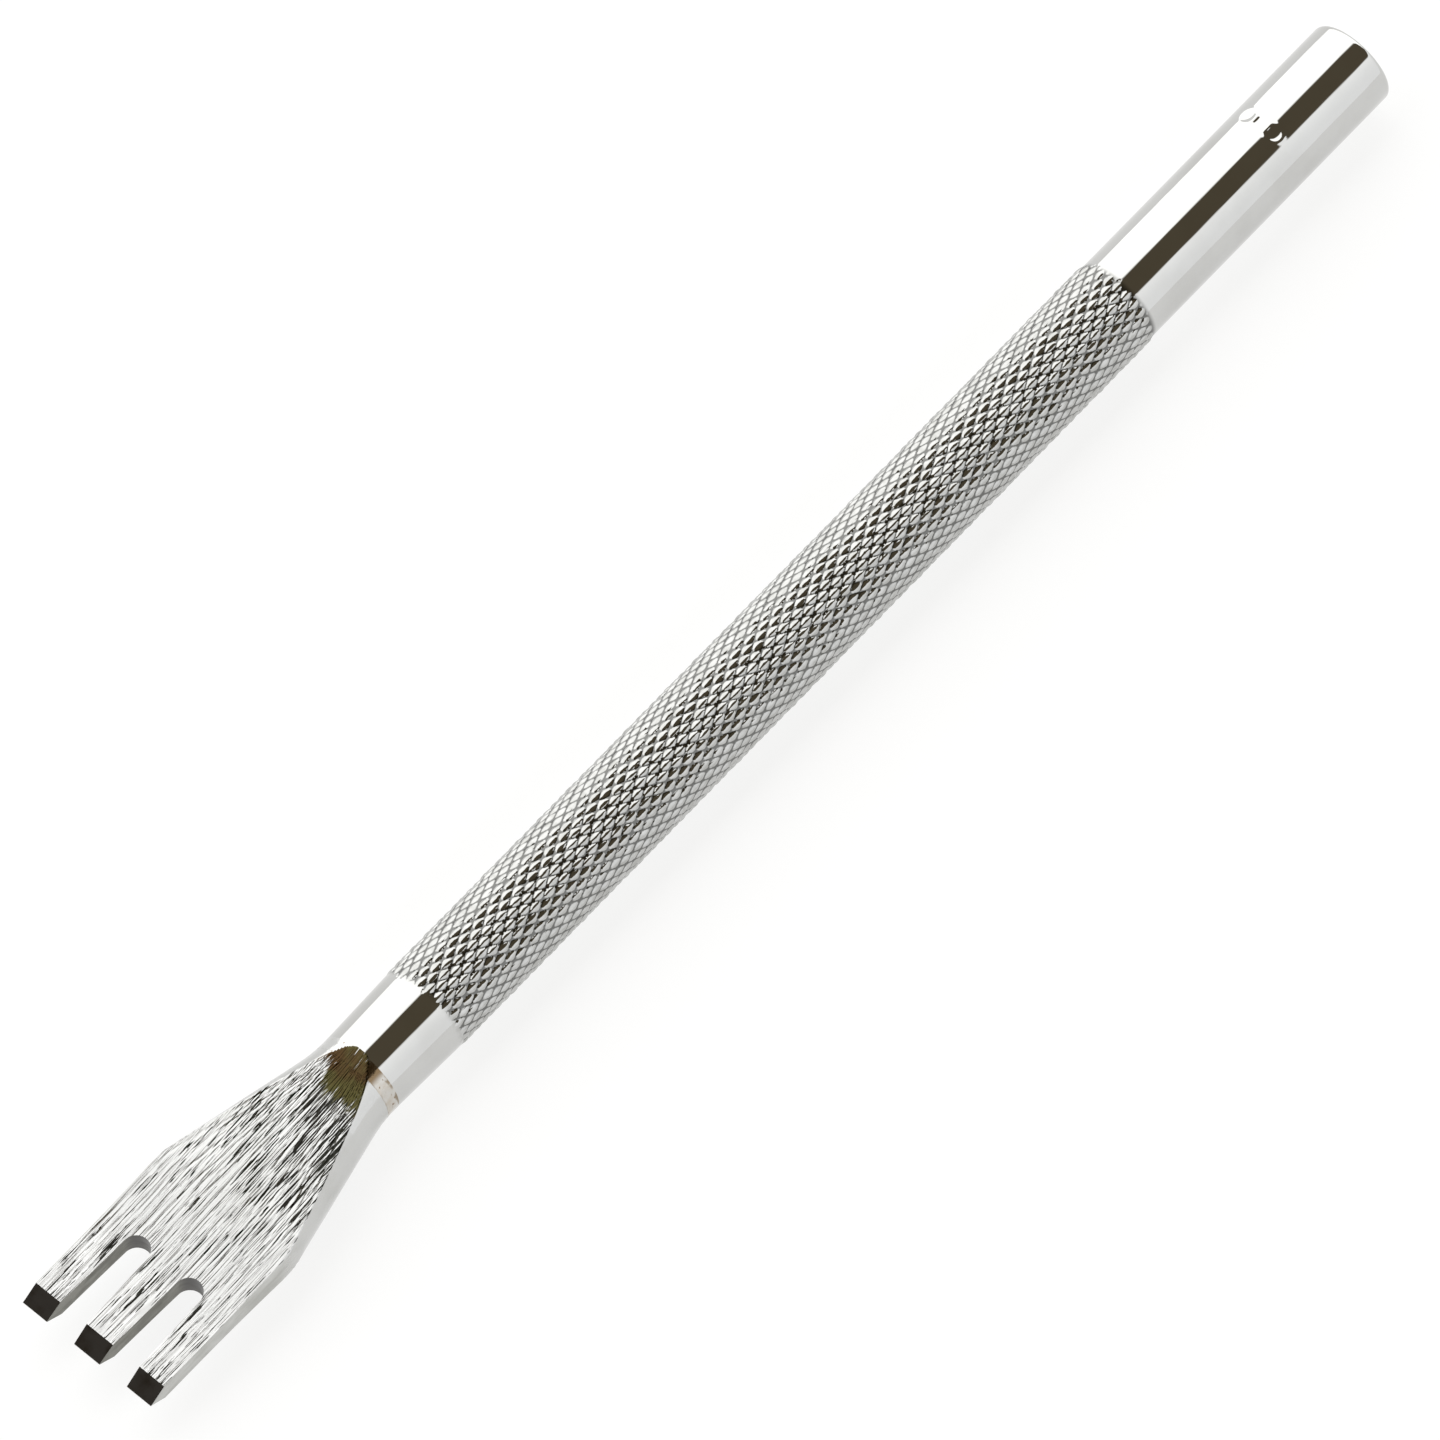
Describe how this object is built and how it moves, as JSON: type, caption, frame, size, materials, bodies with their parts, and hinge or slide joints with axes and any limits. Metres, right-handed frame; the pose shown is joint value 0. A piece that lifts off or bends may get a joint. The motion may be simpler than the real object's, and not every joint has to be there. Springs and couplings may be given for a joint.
{
  "type": "pricking iron",
  "caption": "Slim plated steel hand punch with a knurled round grip and a flat forked head whose prongs end in chisel edges, struck on its plain end to prick leather.",
  "frame": {"origin": "under the middle of the tool's length, at the height of the knurled grip's lowest line", "axes": "+X along the bar towards the struck end, +Z out of the front face, +Y across the row of prongs"},
  "size_m": [0.1294, 0.0116, 0.0071],
  "materials": {
    "plated_bar": "bright nickel-chrome plate, polished on the shank, over a diamond knurl on the grip",
    "plated_head": "plated over lengthwise grinding scratches, bare and darker at the chisel edges",
    "braze": "dull brown filler metal, heat stained"
  },
  "bodies": {
    "root": {"handle": "plated_bar", "prong_head": "plated_head", "braze_seam": "braze"}
  },
  "joints": []
}
